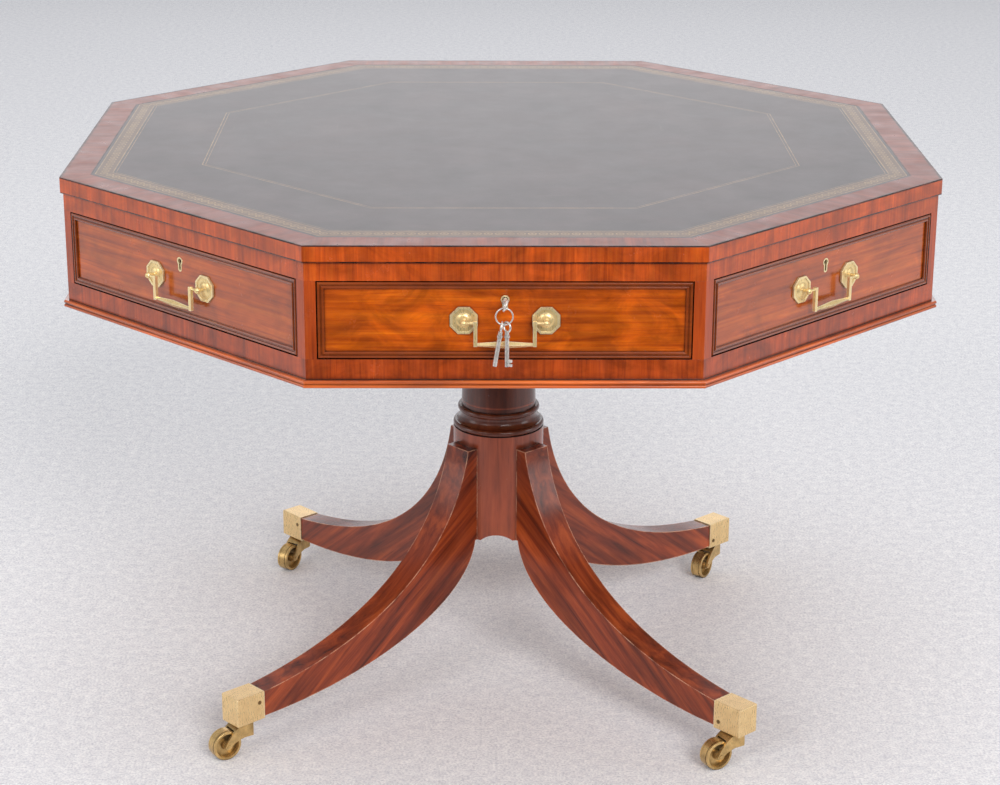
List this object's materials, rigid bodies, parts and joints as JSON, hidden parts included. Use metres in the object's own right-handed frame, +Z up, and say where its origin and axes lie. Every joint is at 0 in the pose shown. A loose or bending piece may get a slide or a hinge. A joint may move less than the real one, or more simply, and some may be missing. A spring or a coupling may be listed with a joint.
{
  "type": "drum table",
  "caption": "Octagonal drum table: a revolving leather-lined top with drawers, sham fronts and brass bail handles, on a turned pillar with sabre legs and castors.",
  "frame": {"origin": "on the floor, under the middle of the pillar", "axes": "+Z up along the pillar; -Y towards the front drawer, the one that holds the key; +X to its right"},
  "size_m": [1.1204, 1.1357, 0.7545],
  "materials": {
    "banding": "french-polished crossbanded mahogany",
    "frieze": "french-polished crossbanded mahogany",
    "fronts": "french-polished figured mahogany",
    "pedestal": "french-polished mahogany, darker with age",
    "carcase": "plain pine and oak",
    "leather": "polished hide with a tooled border",
    "brass": "lacquered satin brass",
    "castor_brass": "aged brass",
    "iron": "black iron",
    "steel": "worn steel"
  },
  "bodies": {
    "pedestal": {"pillar": "pedestal", "leg_back_right": "pedestal", "leg_back_left": "pedestal", "leg_front_left": "pedestal", "leg_front_right": "pedestal", "spider_plate": "iron", "spider_screws": "iron", "bearing_block": "pedestal", "pivot_pin": "iron", "castor_cups": "brass", "castor_cup_screws": "brass", "castor_swivel_pins": "castor_brass"},
    "drum": {"top_board": "banding", "top_crossbanding": "banding", "writing_leather": "leather", "frieze_top_rail": "frieze", "frieze_bottom_rail": "frieze", "corner_posts": "frieze", "base_moulding": "frieze", "drum_bottom_board": "carcase", "drawer_runners": "carcase", "drawer_guides": "carcase", "dummy_fronts": "fronts", "dummy_brasses": "brass", "pivot_plate": "iron"},
    "drawer_front": {"drawer_front_front": "fronts", "drawer_box_front": "carcase", "drawer_brasses_front": "brass"},
    "drawer_right": {"drawer_front_right": "fronts", "drawer_box_right": "carcase", "drawer_brasses_right": "brass"},
    "drawer_back": {"drawer_front_back": "fronts", "drawer_box_back": "carcase", "drawer_brasses_back": "brass"},
    "drawer_left": {"drawer_front_left": "fronts", "drawer_box_left": "carcase", "drawer_brasses_left": "brass"},
    "bail_front": {"bail_front": "brass"},
    "bail_right": {"bail_right": "brass"},
    "bail_back": {"bail_back": "brass"},
    "bail_left": {"bail_left": "brass"},
    "bail_front_right": {"bail_front_right": "brass"},
    "bail_back_right": {"bail_back_right": "brass"},
    "bail_back_left": {"bail_back_left": "brass"},
    "bail_front_left": {"bail_front_left": "brass"},
    "castor_back_right": {"castor_fork_back_right": "castor_brass", "castor_axle_back_right": "castor_brass"},
    "wheel_back_right": {"castor_wheel_back_right": "castor_brass"},
    "castor_back_left": {"castor_fork_back_left": "castor_brass", "castor_axle_back_left": "castor_brass"},
    "wheel_back_left": {"castor_wheel_back_left": "castor_brass"},
    "castor_front_left": {"castor_fork_front_left": "castor_brass", "castor_axle_front_left": "castor_brass"},
    "wheel_front_left": {"castor_wheel_front_left": "castor_brass"},
    "castor_front_right": {"castor_fork_front_right": "castor_brass", "castor_axle_front_right": "castor_brass"},
    "wheel_front_right": {"castor_wheel_front_right": "castor_brass"},
    "key": {"key": "steel"},
    "key_ring": {"key_ring": "steel"},
    "lock_bolt": {"front_lock_bolt": "steel"}
  },
  "joints": [
    {"name": "drum_turn", "type": "hinge", "parent": "pedestal", "child": "drum", "pos_m": [0, 0, 0.596], "axis": [0, 0, 1], "continuous": true},
    {"name": "drawer_front_slide", "type": "slide", "parent": "drum", "child": "drawer_front", "axis": [0, -1, 0], "range_m": [0, 0.24]},
    {"name": "drawer_right_slide", "type": "slide", "parent": "drum", "child": "drawer_right", "axis": [1, 0, 0], "range_m": [0, 0.24]},
    {"name": "drawer_back_slide", "type": "slide", "parent": "drum", "child": "drawer_back", "axis": [0, 1, 0], "range_m": [0, 0.24]},
    {"name": "drawer_left_slide", "type": "slide", "parent": "drum", "child": "drawer_left", "axis": [-1, 0, 0], "range_m": [0, 0.24]},
    {"name": "bail_front_swing", "type": "hinge", "parent": "drawer_front", "child": "bail_front", "pos_m": [0, -0.556, 0.666], "axis": [-1, 0, 0], "range_deg": [0, 90]},
    {"name": "bail_right_swing", "type": "hinge", "parent": "drawer_right", "child": "bail_right", "pos_m": [0.556, 0, 0.666], "axis": [0, -1, 0], "range_deg": [0, 90]},
    {"name": "bail_back_swing", "type": "hinge", "parent": "drawer_back", "child": "bail_back", "pos_m": [0, 0.556, 0.666], "axis": [1, 0, 0], "range_deg": [0, 90]},
    {"name": "bail_left_swing", "type": "hinge", "parent": "drawer_left", "child": "bail_left", "pos_m": [-0.556, 0, 0.666], "axis": [0, 1, 0], "range_deg": [0, 90]},
    {"name": "bail_front_right_swing", "type": "hinge", "parent": "drum", "child": "bail_front_right", "pos_m": [0.39315, -0.39315, 0.666], "axis": [-0.7071, -0.7071, 0], "range_deg": [0, 90]},
    {"name": "bail_back_right_swing", "type": "hinge", "parent": "drum", "child": "bail_back_right", "pos_m": [0.39315, 0.39315, 0.666], "axis": [0.7071, -0.7071, 0], "range_deg": [0, 90]},
    {"name": "bail_back_left_swing", "type": "hinge", "parent": "drum", "child": "bail_back_left", "pos_m": [-0.39315, 0.39315, 0.666], "axis": [0.7071, 0.7071, 0], "range_deg": [0, 90]},
    {"name": "bail_front_left_swing", "type": "hinge", "parent": "drum", "child": "bail_front_left", "pos_m": [-0.39315, -0.39315, 0.666], "axis": [-0.7071, 0.7071, 0], "range_deg": [0, 90]},
    {"name": "castor_back_right_swivel", "type": "hinge", "parent": "pedestal", "child": "castor_back_right", "pos_m": [0.33532, 0.30458, 0.04], "axis": [0, 0, 1], "continuous": true},
    {"name": "wheel_back_right_roll", "type": "hinge", "parent": "castor_back_right", "child": "wheel_back_right", "pos_m": [0.3191, 0.28054, 0.02], "axis": [0.829, -0.5592, 0], "continuous": true},
    {"name": "castor_back_left_swivel", "type": "hinge", "parent": "pedestal", "child": "castor_back_left", "pos_m": [-0.30458, 0.33532, 0.04], "axis": [0, 0, 1], "continuous": true},
    {"name": "wheel_back_left_roll", "type": "hinge", "parent": "castor_back_left", "child": "wheel_back_left", "pos_m": [-0.3208, 0.31128, 0.02], "axis": [0.829, -0.5592, 0], "continuous": true},
    {"name": "castor_front_left_swivel", "type": "hinge", "parent": "pedestal", "child": "castor_front_left", "pos_m": [-0.33532, -0.30458, 0.04], "axis": [0, 0, 1], "continuous": true},
    {"name": "wheel_front_left_roll", "type": "hinge", "parent": "castor_front_left", "child": "wheel_front_left", "pos_m": [-0.35936, -0.3208, 0.02], "axis": [0.5592, -0.829, 0], "continuous": true},
    {"name": "castor_front_right_swivel", "type": "hinge", "parent": "pedestal", "child": "castor_front_right", "pos_m": [0.30458, -0.33532, 0.04], "axis": [0, 0, 1], "continuous": true},
    {"name": "wheel_front_right_roll", "type": "hinge", "parent": "castor_front_right", "child": "wheel_front_right", "pos_m": [0.27947, -0.34982, 0.02], "axis": [0.5, -0.866, 0], "continuous": true},
    {"name": "key_turn", "type": "hinge", "parent": "drawer_front", "child": "key", "pos_m": [0, -0.55, 0.6903], "axis": [0, 1, 0], "range_deg": [-360, 0]},
    {"name": "lock_bolt_throw", "type": "slide", "parent": "drawer_front", "child": "lock_bolt", "axis": [0, 0, 1], "range_m": [0, 0.006]},
    {"name": "key_ring_swing", "type": "hinge", "parent": "key", "child": "key_ring", "pos_m": [-0.00116, -0.568, 0.6871], "axis": [-1, 0, 0], "range_deg": [0, 90]}
  ],
  "couplings": [
    {"joint": "lock_bolt_throw", "follows": "key_turn", "m_per_rad": -0.00095493},
    {"joint": "key_ring_swing", "follows": "bail_front_swing", "ratio": 1}
  ]
}
